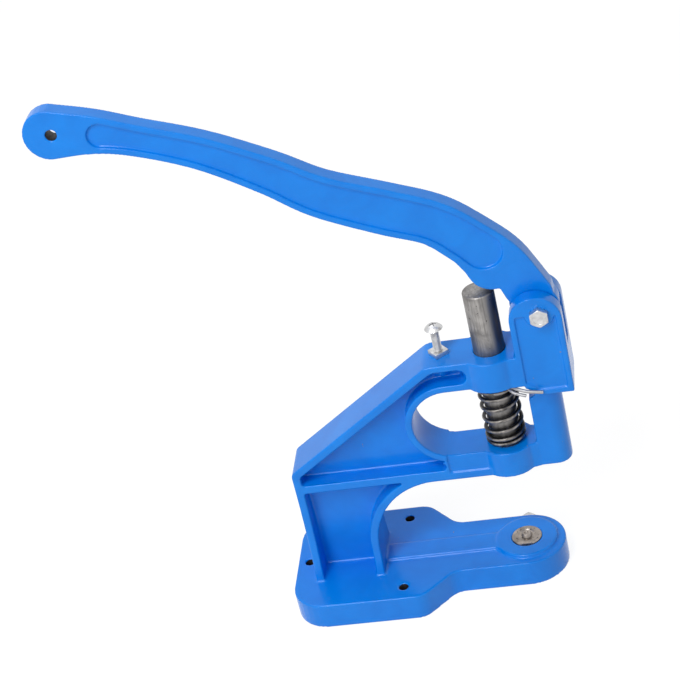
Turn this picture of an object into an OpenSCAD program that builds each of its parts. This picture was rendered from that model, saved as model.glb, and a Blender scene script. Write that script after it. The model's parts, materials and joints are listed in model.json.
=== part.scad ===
// Hand-lever eyelet press.
// X runs along the machine: the die tongue points to +X and the lever's grip to -X.
// Y runs across it, and the machine is symmetrical about Y = 0. Z is up.
// The origin is on the ram's axis, at the underside of the base.

/* [Base] */
// Thickness of the base plate
base_h = 20; // [14:0.5:28]
// Width of the rear part of the base
base_w = 105.5; // [98:0.5:130]
// Distance from the ram's axis back to the rear edge
base_rear = 172.5; // [170:0.5:200]
// Radius of the rear corners
base_corner_r = 25; // [5:0.5:40]
// Distance from the ram's axis back to where the shoulders start
shoulder_rear = 75.5; // [70:0.5:80]
// Length of the slanted shoulders along X
shoulder_len = 22; // [12:0.5:30]
// Radius that rounds both ends of each shoulder
shoulder_r = 15; // [4:0.5:18]
// Width of the tongue, whose end is a half circle about the ram's axis
tongue_w = 56.5; // [50:0.5:70]
// Diameter of the three screw holes
screw_hole_d = 7; // [4:0.1:9]
// Distance from the ram's axis back to the single rear hole
rear_hole_back = 163.5; // [162.5:0.5:166]
// Distance from the ram's axis back to the pair of front holes
front_hole_back = 90; // [84:0.5:98]
// Spacing of the pair of front holes across the base
front_hole_pitch = 79; // [64:0.5:86]
// Diameter of the raised boss round the lower die
die_boss_d = 45; // [36:0.5:52]
// Height of the die boss above the base
die_boss_h = 3; // [1:0.25:6]
// Width of the raised rail between the column and the die boss
rail_w = 18; // [8:0.5:26]
// Height of the rail above the base
rail_h = 2.25; // [1:0.25:5]

/* [Column] */
// Distance from the ram's axis back to the column's rear face
column_back = 156; // [152:0.5:158]
// Height where the rear face turns into the slope
kink_z = 112.5; // [104:0.5:125]
// Thickness of the outer flanges
flange_t = 6; // [4:0.25:8]
// Width of the flanges across the machine
flange_w = 33; // [26:0.5:40]
// Width of the flanges where they meet the base
foot_w = 49; // [42:0.5:60]
// Height below which the flanges flare out to the foot
flare_z = 95; // [60:1:110]
// Thickness of the web between the flanges
web_t = 6; // [4:0.25:10]
// Radius of the throat's rear corner
throat_r = 50; // [35:0.5:55]
// Distance from the ram's axis back to the centre of that corner
throat_back = 54.5; // [50:0.5:60]
// Thickness of the level rib across the web
rib_t = 6.5; // [4:0.25:9]

/* [Arms and window] */
// Height of the top of the upper arm
arm_top = 190; // [186:0.5:196]
// Height of the top of the window between the arms
window_top = 168; // [164:0.5:172]
// Height of the bottom of the window
window_low = 113; // [108:0.5:118]
// Height of the underside of the lower arm
arm_low = 93; // [88:0.5:97]
// Distance from the ram's axis back to the centre of the window's round end
window_back = 34.5; // [26:0.5:40]
// Thickness of the wall round the window
window_wall = 5; // [3:0.25:6]
// Diameter of the lower boss that guides the ram
guide_boss_d = 41.5; // [34:0.5:46]
// Diameter of the upper boss that guides the ram
upper_boss_d = 44; // [38:0.5:48]
// How far the upper boss reaches below its arm
upper_boss_drop = 1.5; // [0.5:0.25:3]
// Depth of the relief in the sides of the lower arm
arm_relief = 1.75; // [0.5:0.25:3]

/* [Pillar and ears] */
// Distance from the ram's axis to the pillar's near side
pillar_x = 21.5; // [19:0.5:24]
// Length of the pillar along X
pillar_len = 22.5; // [18:0.5:32]
// Width of the pillar across the machine, which is also twice its end radius
pillar_w = 22; // [16:0.5:26]
// Distance from the ram's axis to the ears' near side
ear_x = 18.5; // [18.5:0.25:21]
// Length of the ears along X
ear_len = 36; // [32:0.5:42]
// Width over both ears
ears_w = 36.5; // [32:0.5:44]
// Height of the bottom of the ears
ear_low = 158; // [154:0.5:163]
// Height of the centre of the ears' round top
ear_arc_z = 218; // [214:0.5:222]
// Width of the slot between the ears
slot_w = 13.25; // [13.25:0.25:18]
// Width of the raised rim round the ears' side panels
panel_rim = 4; // [2:0.25:6]
// Depth of the ears' side panels
panel_depth = 1.75; // [0.5:0.25:3]
// Radius of the arch at the foot of the ears that the split pin's legs pass
arch_r = 7; // [5:0.25:8]

/* [Pivot] */
// Distance from the ram's axis to the pivot
pivot_x = 39.5; // [37:0.5:41]
// Height of the pivot
pivot_z = 222.5; // [221:0.5:225]
// Diameter of the pivot bolt's shank
pivot_d = 8; // [6:0.5:10]
// Width across flats of the pivot bolt's head and nut
pivot_flats = 12; // [10:0.5:16]
// Height of the pivot bolt's head
pivot_head_h = 5; // [3:0.25:7]
// Height of the pivot nut
pivot_nut_h = 6.5; // [4:0.25:9]
// Diameter of the washer under the pivot nut
washer_d = 16; // [14:0.5:20]
// Thickness of the washer under the pivot nut
washer_t = 1.6; // [1:0.1:3]

/* [Lever] */
// Distance along X from the pivot to the centre of the grip's end
lever_reach = 295.5; // [260:0.5:340]
// Height of the grip's end above the pivot
lever_rise = 178; // [150:0.5:200]
// Thickness of the lever
lever_t = 13; // [11.5:0.25:16]
// Thickness of the part of the lever that turns between the ears
lever_eye_t = 12.75; // [8:0.25:12.75]
// Width of the grip's round end
grip_w = 35.5; // [28:0.5:44]
// Width of the lever at its narrow neck behind the grip
neck_w = 23; // [18:0.5:28]
// Width of the lever along its belly
belly_w = 33.5; // [26:0.5:38]
// Diameter of the hub round the pivot
hub_d = 28; // [20:0.5:30]
// Radius about the pivot at which the lever gets its full thickness
shoulder_turn_r = 38.5; // [32:0.5:44]
// Radius of the nose that presses the ram
nose_r = 17; // [12:0.5:20]
// Distance from the ram's axis to the nose's centre
nose_x = 13; // [10:0.5:15]
// Diameter of the hole in the grip
grip_hole_d = 8; // [4:0.5:12]
// Distance along X from the centre of the grip's end to that hole
grip_hole_in = 2; // [0:0.5:6]
// Width of the rim round the recess in the lever's sides
recess_rim = 4.5; // [3:0.25:6]
// Depth of the recess in the lever's sides
recess_depth = 2.5; // [0.5:0.25:3]

/* [Ram and spring] */
// Diameter of the ram
ram_d = 22; // [18:0.5:24]
// Height of the ram's top at rest
ram_top = 237.5; // [232:0.5:240]
// Length of the ram
ram_len = 150.5; // [146:0.5:156]
// Bevel round the ram's ends
ram_bevel = 0.75; // [0.25:0.25:2]
// Diameter of the socket for an upper die in the ram's lower end
socket_d = 10; // [6:0.5:12]
// Depth of that socket
socket_depth = 20; // [12:0.5:30]
// Diameter of the split pin
split_pin_d = 3.5; // [2.5:0.1:4]
// Gap between the split pin and the boss above it
split_pin_gap = 0.6; // [0.3:0.1:2]
// Angle of the split pin across the machine, in degrees
split_pin_turn = 55; // [50:1:60]
// Diameter of the spring's wire
wire_d = 2.8; // [1.5:0.1:3]
// Number of turns of the spring
spring_turns = 6.75; // [5:0.25:8]

/* [Stop screw] */
// Distance from the ram's axis back to the stop screw
stop_back = 35; // [30:0.5:38]
// Height of the top of the stop screw's head
stop_top = 215; // [208:0.5:216]
// Diameter of the stop screw's shank
stop_d = 6; // [4:0.5:8]
// Diameter of the stop screw's head
stop_head_d = 13; // [10:0.5:15]
// Height of the stop screw's head
stop_head_h = 3.5; // [2.5:0.25:5]
// Width across flats of its square nut
stop_nut_flats = 10.5; // [9:0.25:13]
// Height of its square nut
stop_nut_h = 3.5; // [2.5:0.25:6]
// Length of the thread's seat below the top of the upper arm
stop_seat = 15; // [8:0.5:15.5]

/* [Lower die] */
// Diameter of the lower die
die_d = 22; // [16:0.5:26]
// Depth to which the lower die sits in its boss
die_seat = 13; // [8:0.5:16]
// Height of the lower die's rim above its boss
die_proud = 0.5; // [0:0.25:2]
// Depth of the flat on the lower die's near side
die_flat = 1.2; // [0.5:0.1:2]
// Diameter of the pip in the middle of the lower die
pip_d = 8; // [4:0.5:10]
// Height of the pip
pip_h = 3.5; // [1:0.25:4]
// Diameter of the screw that holds the lower die
die_screw_d = 6; // [4:0.5:7]
// Width across flats of that screw's head
die_screw_flats = 10; // [8:0.5:13]
// Height of that screw's head
die_screw_head_h = 4; // [2.5:0.25:6]
// Height of that screw above the table
die_screw_z = 13; // [13:0.5:15]
// Gap between that screw's head and the tongue
die_screw_gap = 1; // [0.3:0.1:3]

/* [Fits] */
// Running clearance on the radius of the ram and of the pivot
run_gap = 0.05; // [0.02:0.01:0.1]
// Clearance on the radius of threads and of screws in plain holes
thread_gap = 0.05; // [0.02:0.01:0.2]
// Gap between pieces that rest on each other
seat_gap = 0.05; // [0.02:0.01:0.3]
// Gap between the lever's nose and the ram at rest
nose_gap = 2; // [0.1:0.1:3]
// Gap between the spring and the pieces round it
spring_gap = 0.3; // [0.2:0.05:0.6]

/* [Hidden] */

$fn = 64;
paint = [0.10, 0.47, 0.87];
steel = [0.55, 0.54, 0.53];
zinc = [0.82, 0.83, 0.84];
spring_black = [0.10, 0.10, 0.11];
// Overlap that lets pieces of one solid join, and cuts pass right through
join = 1;
over = 60;

base_half = base_w / 2;
tongue_half = tongue_w / 2;
flange_half = flange_w / 2;
foot_half = foot_w / 2;
ears_half = ears_w / 2;
slot_half = slot_w / 2;
pillar_half = pillar_w / 2;
boss_r = guide_boss_d / 2;
ram_r = ram_d / 2;
ear_end = ear_x + ear_len;
ear_r = ear_len / 2;
window_r = (window_top - window_low) / 2;
window_z = (window_top + window_low) / 2;
window_centre = [-window_back, window_z];
ring_r = window_r + window_wall;
throat_centre = [-throat_back, arm_low - throat_r];
rib_low = arm_low + 2;
rib_top = rib_low + rib_t;
// Point where the slope meets the top of the upper arm, set by the slope's run and rise
slope_run = 111.5;
slope_top_x = -column_back + slope_run;
slope_dir = unit([slope_run, arm_top - kink_z]);
slope_in = [slope_dir.y, -slope_dir.x] * flange_t;
die_top = base_h + die_boss_h;
pivot = [pivot_x, pivot_z];
nose_centre = [nose_x, ram_top + nose_gap + nose_r];
upper_boss_low = window_top - upper_boss_drop;
split_pin_z = upper_boss_low - split_pin_gap - split_pin_d / 2;
spring_low = window_low + spring_gap;
spring_high = split_pin_z - split_pin_d / 2 - spring_gap;

// --- plane geometry ------------------------------------------------------------

function unit(v) = v / norm(v);

// Points along a circular arc, angles in degrees
function arc(c, r, a0, a1, n) =
    [for (i = [0:n]) let (a = a0 + (a1 - a0) * i / n) c + r * [cos(a), sin(a)]];

// Arc of radius r that rounds the corner at b between a and c
function corner_arc(a, b, c, r, n) =
    let (u = unit(a - b),
         v = unit(c - b),
         half = acos(u * v) / 2,
         m = b + unit(u + v) * r / sin(half),
         p = b + u * r / tan(half) - m,
         q = b + v * r / tan(half) - m,
         a0 = atan2(p.y, p.x),
         sweep = (atan2(q.y, q.x) - a0 + 540) % 360 - 180)
    arc(m, r, a0, a0 + sweep, n);

// Outline with a radius at each corner, where 0 keeps the corner sharp
function rounded(points, radii, n = 8) =
    let (k = len(points))
    [for (i = [0:k - 1])
        each (radii[i] > 0
            ? corner_arc(points[(i + k - 1) % k], points[i], points[(i + 1) % k], radii[i], n)
            : [points[i]])];

// Extrudes an X-Z outline across the machine, centred on Y = 0
module across(w) {
    rotate([90, 0, 0]) linear_extrude(w, center = true) children();
}

// Extrudes an X-Z outline on both sides, between two distances from Y = 0
module both_sides(from, to) {
    for (side = [-1, 1]) {
        translate([0, side * (from + to) / 2, 0]) across(to - from) children();
    }
}

// Hexagonal prism given by its width across flats
module hexagon(flats, h) {
    cylinder(d = flats / cos(30), h = h, $fn = 6);
}

// --- frame casting ---------------------------------------------------------------

module base_outline() {
    shoulder_end = -shoulder_rear + shoulder_len;
    near = [[-base_rear, -base_half], [-shoulder_rear, -base_half],
            [shoulder_end, -tongue_half], [0, -tongue_half]];
    far = [for (i = [3:-1:0]) [near[i].x, -near[i].y]];
    radii = [base_corner_r, shoulder_r, shoulder_r, 0];
    polygon(rounded(concat(near, far), concat(radii, [radii[3], radii[2], radii[1], radii[0]])));
    circle(r = tongue_half);
}

module base_plate() {
    linear_extrude(base_h) base_outline();
    cylinder(d = die_boss_d, h = die_top);
    rail_mouth = die_boss_d * 0.42;
    linear_extrude(base_h + rail_h) polygon([
        [-throat_back - throat_r - join, -rail_w / 2], [-die_boss_d / 2, -rail_w / 2],
        [-die_boss_d / 4, -rail_mouth], [-die_boss_d / 4, rail_mouth],
        [-die_boss_d / 2, rail_w / 2], [-throat_back - throat_r - join, rail_w / 2]]);
}

// Side view of the column and arms, before the pockets are cut
module side_outline() {
    difference() {
        polygon(rounded(
            [[-column_back, base_h - join], [-column_back, kink_z], [slope_top_x, arm_top],
             [ear_x + join, arm_top], [ear_x + join, base_h - join]],
            [0, 6, 12, 0, 0]));
        translate(throat_centre) circle(r = throat_r, $fn = 128);
        translate([-throat_back, -over]) square([over * 2, arm_low + over]);
        translate([-throat_back - throat_r, -over]) square([throat_r + join, throat_centre.y + over]);
        // The lower arm ends at the ram's axis, in its guide boss
        translate([0, -over]) square([over, window_z + over]);
    }
}

// Front view of the flanges: parallel above flare_z, curving out to the foot below it
module flare_outline() {
    flare_h = flare_z - base_h;
    flare_out = foot_half - flange_half;
    flare_r = (flare_h * flare_h + flare_out * flare_out) / (2 * flare_out);
    flare_turn = asin(flare_h / flare_r);
    right = arc([flange_half + flare_r, flare_z], flare_r, 180 + flare_turn, 180, 10);
    left = [for (i = [len(right) - 1:-1:0]) [-right[i].x, right[i].y]];
    polygon(concat([[foot_half, 0]], right, [[flange_half, arm_top + join]],
                   [[-flange_half, arm_top + join]], left, [[-foot_half, 0]]));
}

// Pocket above the rib: inside the slope, round the window's wall and along the upper arm
module upper_pocket() {
    in_x = -column_back + flange_t;
    kink_in = kink_z - flange_t * tan((90 - atan2(slope_dir.y, slope_dir.x)) / 2);
    top_in = arm_top - flange_t + 1;
    end_r = (top_in - window_z - ring_r) / 2;
    end_x = -window_back + 11;
    low_r = (window_z - ring_r - rib_top) / 2;
    low_x = -window_back - 13;
    slope_in_x = slope_top_x + slope_in.x - (top_in - arm_top - slope_in.y) * -slope_dir.x / slope_dir.y;
    difference() {
        union() {
            polygon(rounded(
                [[in_x, rib_top], [in_x, kink_in], [slope_in_x, top_in],
                 [end_x, top_in], [end_x, window_z + ring_r], [-window_back, window_z + ring_r],
                 [-window_back, window_z - ring_r], [low_x, window_z - ring_r], [low_x, rib_top]],
                [2, 3, 10, 0, 0, 0, 0, 0, 0]));
            translate([end_x, top_in - end_r]) circle(r = end_r);
            translate([low_x, rib_top + low_r]) circle(r = low_r);
        }
        translate(window_centre) circle(r = ring_r, $fn = 128);
    }
}

// Pocket below the rib: between the rear flange and the curved front flange
module lower_pocket() {
    in_x = -column_back + flange_t;
    front_x = -throat_back - throat_r - flange_t;
    difference() {
        polygon(rounded(
            [[in_x, base_h], [in_x, rib_low], [-throat_back, rib_low],
             [-throat_back, throat_centre.y], [front_x, throat_centre.y], [front_x, base_h]],
            [2, 2, 0, 0, 0, 2]));
        translate(throat_centre) circle(r = throat_r + flange_t, $fn = 128);
    }
}

// Window between the arms, from its round end to the pillar
module window_outline() {
    translate(window_centre) circle(r = window_r, $fn = 128);
    translate([-window_back, window_low]) square([window_back + pillar_x, 2 * window_r]);
}

module column_and_arms() {
    difference() {
        intersection() {
            across(foot_w) side_outline();
            translate([-column_back - join, 0, 0]) rotate([90, 0, 90])
                linear_extrude(column_back + ear_x + 2 * join) flare_outline();
        }
        both_sides(web_t / 2, foot_half + join) {
            upper_pocket();
            lower_pocket();
        }
        both_sides(flange_half - arm_relief, flange_half + join)
            translate([-window_back - 8, arm_low + flange_t])
                square([window_back + over, window_low - arm_low - flange_t + join]);
    }
    // Boss under the upper arm's top that the stop screw is threaded into
    translate([-stop_back, 0, arm_top - stop_seat]) cylinder(r = stop_d, h = stop_seat - join);
}

// Lower guide boss, which tapers to the pillar
module lower_boss() {
    translate([0, 0, arm_low]) cylinder(r = boss_r, h = window_low - arm_low + join);
    taper_x = boss_r * 0.42;
    taper_y = boss_r * 0.9;
    translate([0, 0, arm_low]) linear_extrude(window_low - arm_low + join) polygon([
        [taper_x, -taper_y], [pillar_x - 8, -pillar_half - 2.5], [pillar_x + 1, -pillar_half],
        [pillar_x + 1, pillar_half], [pillar_x - 8, pillar_half + 2.5], [taper_x, taper_y]]);
}

// Upper guide boss, which runs on into the ears
module upper_boss() {
    translate([0, 0, upper_boss_low]) {
        cylinder(d = upper_boss_d, h = arm_top - upper_boss_low);
        translate([0, -ears_half, 0]) cube([pillar_x + join, ears_w, arm_top - upper_boss_low]);
    }
}

module pillar() {
    translate([0, 0, arm_low]) linear_extrude(arm_top - arm_low) {
        translate([pillar_x, -pillar_half]) square([pillar_len - pillar_half, pillar_w]);
        translate([pillar_x + pillar_len - pillar_half, 0]) circle(r = pillar_half);
    }
}

module ear_outline(inset = 0) {
    translate([ear_x + inset, ear_low + inset])
        square([ear_len - 2 * inset, ear_arc_z - ear_low - inset]);
    translate([ear_x + ear_r, ear_arc_z]) circle(r = ear_r - inset);
}

module arch_outline(grow = 0) {
    translate([pillar_x - 1.5, ear_low - 0.5]) circle(r = arch_r + grow);
}

// Side panel of an ear: inside the rim, clear of the pivot's seat and of the arch
module panel_outline() {
    seat_r = pivot_flats / cos(30) / 2 + 3;
    difference() {
        ear_outline(panel_rim);
        translate([ear_x, pivot_z]) square([ear_len, over]);
        translate(pivot) circle(r = seat_r);
        arch_outline(panel_rim);
    }
}

module ears() {
    difference() {
        across(ears_w) ear_outline();
        both_sides(ears_half - panel_depth, ears_half + join) panel_outline();
    }
}

module frame_casting() {
    color(paint) difference() {
        union() {
            difference() {
                union() {
                    base_plate();
                    column_and_arms();
                    lower_boss();
                    pillar();
                    ears();
                }
                across(over) window_outline();
            }
            upper_boss();
        }
        across(ears_w + 2 * join) arch_outline();
        // Slot that the lever's hub turns in
        translate([ear_x - join, -slot_half, arm_top]) cube([ear_len + 2 * join, slot_w, over]);
        // Ram's bore through both bosses, and the pivot's hole through both ears
        translate([0, 0, arm_low - join]) cylinder(r = ram_r + run_gap, h = arm_top - arm_low + 2 * join);
        translate([pivot_x, 0, pivot_z]) rotate([90, 0, 0])
            cylinder(r = pivot_d / 2 + thread_gap, h = ears_w + 2 * join, center = true);
        // Holes for the screws that hold the base down
        translate([-rear_hole_back, 0, -join]) cylinder(d = screw_hole_d, h = base_h + 2 * join);
        for (side = [-1, 1]) {
            translate([-front_hole_back, side * front_hole_pitch / 2, -join])
                cylinder(d = screw_hole_d, h = base_h + 2 * join);
        }
        // Seat of the lower die and the thread of its screw
        translate([0, 0, die_top - die_seat]) cylinder(r = die_d / 2 + run_gap, h = die_seat + join);
        translate([0, 0, die_screw_z]) rotate([-90, 0, 0])
            cylinder(r = die_screw_d / 2 + thread_gap, h = tongue_half + join);
        // Thread of the stop screw
        translate([-stop_back, 0, arm_top - stop_seat - join])
            cylinder(r = stop_d / 2 + thread_gap, h = stop_seat + 2 * join);
    }
}

// --- lever -------------------------------------------------------------------------

// Stations of the lever's centre line, from the pivot to the grip:
// share of the reach, share of the rise, width there
LEVER_STATIONS = [
    [0.000, 0.000, hub_d],
    [0.064, 0.186, belly_w + 3],
    [0.134, 0.321, belly_w + 1],
    [0.201, 0.414, belly_w],
    [0.303, 0.488, belly_w + 0.5],
    [0.438, 0.590, (belly_w * 2 + neck_w) / 3 + 1],
    [0.540, 0.706, (belly_w + neck_w) / 2 - 0.5],
    [0.675, 0.836, neck_w + 1],
    [0.811, 0.927, neck_w],
    [0.905, 0.976, (neck_w + grip_w) / 2 - 1.5],
    [1.000, 1.000, grip_w]];
STATION_STEPS = 6;

function station(i) =
    let (s = LEVER_STATIONS[max(0, min(len(LEVER_STATIONS) - 1, i))])
    [pivot_x - s.x * lever_reach, pivot_z + s.y * lever_rise, s.z];

// Catmull-Rom curve through the stations, where t counts stations
function lever_at(t) =
    let (i = min(floor(t), len(LEVER_STATIONS) - 2),
         f = t - i,
         a = station(i - 1), b = station(i), c = station(i + 1), d = station(i + 2))
    (2 * b + (c - a) * f + (2 * a - 5 * b + 4 * c - d) * f * f + (3 * b - a - 3 * c + d) * f * f * f) / 2;

function lever_dir(t) = let (q = lever_at(t + 0.01) - lever_at(t - 0.01)) unit([q.x, q.y]);

// Edge of the band along the centre line between two stations: the underside for side 1
function lever_edge(t0, t1, side, rim) =
    let (steps = round(abs(t1 - t0) * STATION_STEPS))
    [for (i = [0:steps])
        let (t = t0 + (t1 - t0) * i / steps, p = lever_at(t), q = lever_dir(t))
        [p.x, p.y] + side * (p.z / 2 - rim) * [-q.y, q.x]];

// Half circle that closes the band at a station, towards the grip for way 1
function lever_end(t, way, rim) =
    let (p = lever_at(t), q = lever_dir(t), a = atan2(q.y, q.x) + 90 * way)
    arc([p.x, p.y], p.z / 2 - rim, a, a - 180, 12);

// Side view of the lever: grip, belly, the nose that presses the ram, and hub
module lever_outline() {
    last = len(LEVER_STATIONS) - 1.02;
    hub_r = hub_d / 2;
    polygon(concat(
        lever_edge(3, last, 1, 0),
        lever_end(last, 1, 0),
        lever_edge(last, 0.7, -1, 0),
        [pivot + hub_r * [0.75, 1.04]],
        arc(pivot, hub_r, 35, -145, 16),
        [pivot + hub_r * [-1.48, 0.64]],
        arc(nose_centre, nose_r, -80, -158, 12),
        [for (v = [[-1.07, -0.03], [-1.375, 0.47], [-2.06, 1.19]]) nose_centre + nose_r * v]));
}

// Recess in the lever's sides, a rim inside its edges
module recess_outline() {
    near_end = 8.8;
    hub_end = 1.55;
    polygon(concat(
        lever_edge(hub_end, near_end, 1, recess_rim),
        lever_end(near_end, 1, recess_rim),
        lever_edge(near_end, hub_end, -1, recess_rim),
        lever_end(hub_end, -1, recess_rim)));
}

module lever() {
    color(paint) difference() {
        across(lever_t) lever_outline();
        both_sides(lever_t / 2 - recess_depth, lever_t / 2 + join) recess_outline();
        both_sides(lever_eye_t / 2, lever_t / 2 + join) translate(pivot) circle(r = shoulder_turn_r);
        translate([pivot_x, 0, pivot_z]) rotate([90, 0, 0])
            cylinder(r = pivot_d / 2 + run_gap, h = lever_t + 2 * join, center = true);
        translate([pivot_x - lever_reach + grip_hole_in, 0, pivot_z + lever_rise]) rotate([90, 0, 0])
            cylinder(d = grip_hole_d, h = lever_t + 2 * join, center = true);
    }
}

// --- pivot ----------------------------------------------------------------------------

washer_y = ears_half + seat_gap;
nut_y = washer_y + washer_t + seat_gap;
bolt_end_y = nut_y + pivot_nut_h + 2;

module pivot_bolt() {
    color(zinc) translate([pivot_x, -ears_half - seat_gap, pivot_z]) {
        rotate([90, 0, 0]) hexagon(pivot_flats, pivot_head_h);
        translate([0, -join, 0]) rotate([-90, 0, 0])
            cylinder(d = pivot_d, h = bolt_end_y + ears_half + seat_gap + join);
    }
}

module pivot_washer() {
    color(zinc) translate([pivot_x, washer_y, pivot_z]) rotate([-90, 0, 0]) difference() {
        cylinder(d = washer_d, h = washer_t);
        translate([0, 0, -join]) cylinder(r = pivot_d / 2 + thread_gap, h = washer_t + 2 * join);
    }
}

module pivot_nut() {
    color(zinc) translate([pivot_x, nut_y, pivot_z]) rotate([-90, 0, 0]) difference() {
        hexagon(pivot_flats, pivot_nut_h);
        translate([0, 0, -join]) cylinder(r = pivot_d / 2 + thread_gap, h = pivot_nut_h + 2 * join);
    }
}

// --- ram, split pin and spring -----------------------------------------------------------

module ram() {
    ram_low = ram_top - ram_len;
    color(steel) difference() {
        rotate_extrude() polygon([
            [0, ram_low], [ram_r - ram_bevel, ram_low], [ram_r, ram_low + ram_bevel],
            [ram_r, ram_top - ram_bevel], [ram_r - ram_bevel, ram_top], [0, ram_top]]);
        translate([0, 0, ram_low - join]) cylinder(d = socket_d, h = socket_depth + join);
        translate([0, 0, split_pin_z]) rotate([90, 0, 90 - split_pin_turn])
            cylinder(r = split_pin_d / 2 + thread_gap, h = 2 * ram_d, center = true);
    }
}

// Ring of a tube at a path point, square to the run there
function tube_ring(path, i, d, sides) =
    let (k = len(path),
         dir = unit(path[min(k - 1, i + 1)] - path[max(0, i - 1)]),
         side = unit(cross([0, 0, 1], dir)),
         top = cross(dir, side))
    [for (j = [0:sides - 1]) let (a = 360 * (j + 0.5) / sides)
        path[i] + d / 2 * (cos(a) * side + sin(a) * top)];

// Closed tube along a path, of triangles
module tube(path, d, sides) {
    k = len(path);
    points = [for (i = [0:k - 1]) each tube_ring(path, i, d, sides)];
    walls = [for (i = [0:k - 2], j = [0:sides - 1])
        let (a = i * sides + j, b = i * sides + (j + 1) % sides)
        each [[a, b + sides, b], [a, a + sides, b + sides]]];
    top = (k - 1) * sides;
    low_cap = [for (j = [1:sides - 2]) [0, j, j + 1]];
    high_cap = [for (j = [1:sides - 2]) [top, top + j + 1, top + j]];
    polyhedron(points, concat(walls, low_cap, high_cap));
}

// Path with each inner corner cut to two points, a share of the run away from it
function eased(path, share) =
    concat([path[0]],
        [for (i = [1:len(path) - 2])
            each [path[i] + (path[i - 1] - path[i]) * share,
                  path[i] * (1 - share) + (path[i - 1] + path[i + 1]) * share / 2,
                  path[i] + (path[i + 1] - path[i]) * share]],
        [path[len(path) - 1]]);

LEG_SIDES = 10;

module split_pin() {
    leg_d = split_pin_d * 0.72;
    eye_r = split_pin_d * 0.8;
    out = [cos(split_pin_turn), -sin(split_pin_turn), 0];
    middle = [0, 0, split_pin_z];
    eye_end = ram_r + 1.5;
    start = middle + out * (ram_r - 1);
    // Both legs are bent round towards the ears: one runs on in front of the near ear
    front = -ears_half - leg_d / 2 - 0.4;
    under_boss = upper_boss_low - leg_d / 2 - 0.5;
    color(zinc) {
        translate(middle - out * eye_end) rotate([0, 90, -split_pin_turn])
            cylinder(d = split_pin_d, h = 2 * ram_r + 2.5);
        translate(middle - out * (eye_end + eye_r)) rotate_extrude()
            translate([eye_r, 0]) circle(d = leg_d);
        tube(eased([start, [pillar_x - 6, front + 2.5, under_boss],
                    [pillar_x + 0.7, front, under_boss - 1.4],
                    [pillar_x + 11.7, front, under_boss - 3.3]], 0.2), leg_d, LEG_SIDES);
        tube(eased([start, [pillar_x - 12.5, front + 6.4, split_pin_z - 0.5],
                    [pillar_x - 8.5, front + 2.5, split_pin_z - 2.6],
                    [pillar_x - 0.1, front + 0.4, split_pin_z - 4.4]], 0.2), leg_d * 0.9, LEG_SIDES);
    }
}

RINGS_PER_TURN = 8;
WIRE_SIDES = 6;
spring_rings = round(spring_turns * RINGS_PER_TURN);
// The ring corners stand out far enough for the straight runs between them to clear the ram
spring_r = (ram_r + spring_gap + wire_d / 2) / cos(180 / RINGS_PER_TURN);
spring_foot_z = spring_low + wire_d / 2;
spring_rise = spring_high - wire_d / 2 - spring_foot_z;
// The end turns lie close together, and the turns between them open out
end_pitch = wire_d + 0.6;

function ease(u) = let (v = max(0, min(1, u))) v * v * (3 - 2 * v);

function spring_z(t) =
    spring_foot_z + end_pitch * t
    + (spring_rise - end_pitch * spring_turns) * ease((t - 1) / (spring_turns - 1.2));

function spring_point(i) =
    let (t = i / RINGS_PER_TURN, a = 360 * t + 90)
    [spring_r * cos(a), spring_r * sin(a), spring_z(t)];

// Centre points of the wire: the coil, with one wire diameter straight on at each end
function spring_path() =
    let (first = spring_point(0), second = spring_point(1),
         last = spring_point(spring_rings), before = spring_point(spring_rings - 1),
         flat_in = unit([first.y, -first.x, 0]), flat_out = unit([-last.y, last.x, 0]))
    concat([first + flat_in * wire_d], [for (i = [0:spring_rings]) spring_point(i)],
           [last + flat_out * wire_d]);

// Least distance between wire centres about a turn apart, less the wire itself
spring_self_gap = min([for (i = [0:spring_rings - RINGS_PER_TURN + 1], j = [-1:1])
    let (other = i + RINGS_PER_TURN + j)
    if (other <= spring_rings) norm(spring_point(i) - spring_point(other))]) - wire_d;

module return_spring() {
    color(spring_black) tube(spring_path(), wire_d, WIRE_SIDES);
}

// --- stop screw ------------------------------------------------------------------------------

module stop_screw() {
    shank_low = arm_top - stop_seat + 0.5;
    head_low = stop_top - stop_head_h;
    // Ball that the domed head is cut from
    dome_r = (stop_head_d * stop_head_d / 4 + stop_head_h * stop_head_h) / (2 * stop_head_h);
    color(zinc) translate([-stop_back, 0, 0]) difference() {
        union() {
            translate([0, 0, shank_low]) cylinder(d = stop_d, h = stop_top - shank_low - 2);
            intersection() {
                translate([0, 0, stop_top - dome_r]) sphere(r = dome_r, $fn = 96);
                translate([0, 0, head_low]) cylinder(d = stop_head_d + join, h = stop_head_h + join);
            }
        }
        // Cross slot in the head
        for (turn = [0, 90]) {
            rotate([0, 0, turn + 20]) translate([-stop_head_d / 3, -0.6, stop_top - 1.4])
                cube([stop_head_d / 1.5, 1.2, 2]);
        }
    }
}

module stop_nut() {
    color(zinc) translate([-stop_back, 0, arm_top + seat_gap]) rotate([0, 0, -8]) difference() {
        cylinder(d = stop_nut_flats * sqrt(2), h = stop_nut_h, $fn = 4);
        translate([0, 0, -join]) cylinder(r = stop_d / 2 + thread_gap, h = stop_nut_h + 2 * join);
    }
}

// --- lower die -------------------------------------------------------------------------------

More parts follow.
